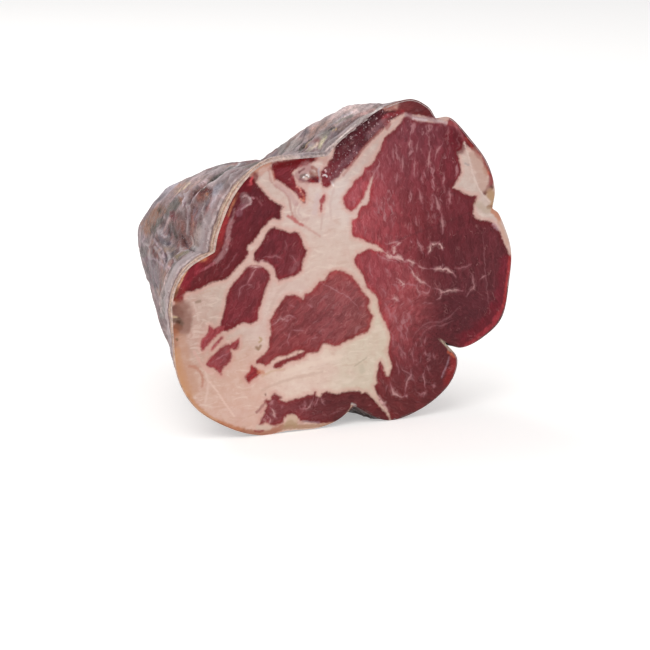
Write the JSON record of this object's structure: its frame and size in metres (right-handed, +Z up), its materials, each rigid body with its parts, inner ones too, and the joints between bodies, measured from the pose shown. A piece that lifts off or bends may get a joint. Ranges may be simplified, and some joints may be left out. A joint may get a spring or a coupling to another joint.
{
  "type": "cut piece of coppa",
  "caption": "Cut piece of cured pork neck in its dried casing, resting on a flattened underside, with a flat marbled cut face and a rounded end.",
  "frame": {"origin": "middle of the box around the piece, on the ground that it rests on", "axes": "+Z up, the cut face looks to -Y, the rounded end points to +Y, +X is to the right as seen from the cut"},
  "size_m": [0.1122, 0.102, 0.0977],
  "materials": {
    "casing": "dry, dull natural casing in grey and mauve with orange-brown and mouldy patches",
    "cut_meat": "moist satin cut of dark red meat with ivory fat"
  },
  "bodies": {
    "root": {"coppa": "casing"}
  },
  "joints": []
}
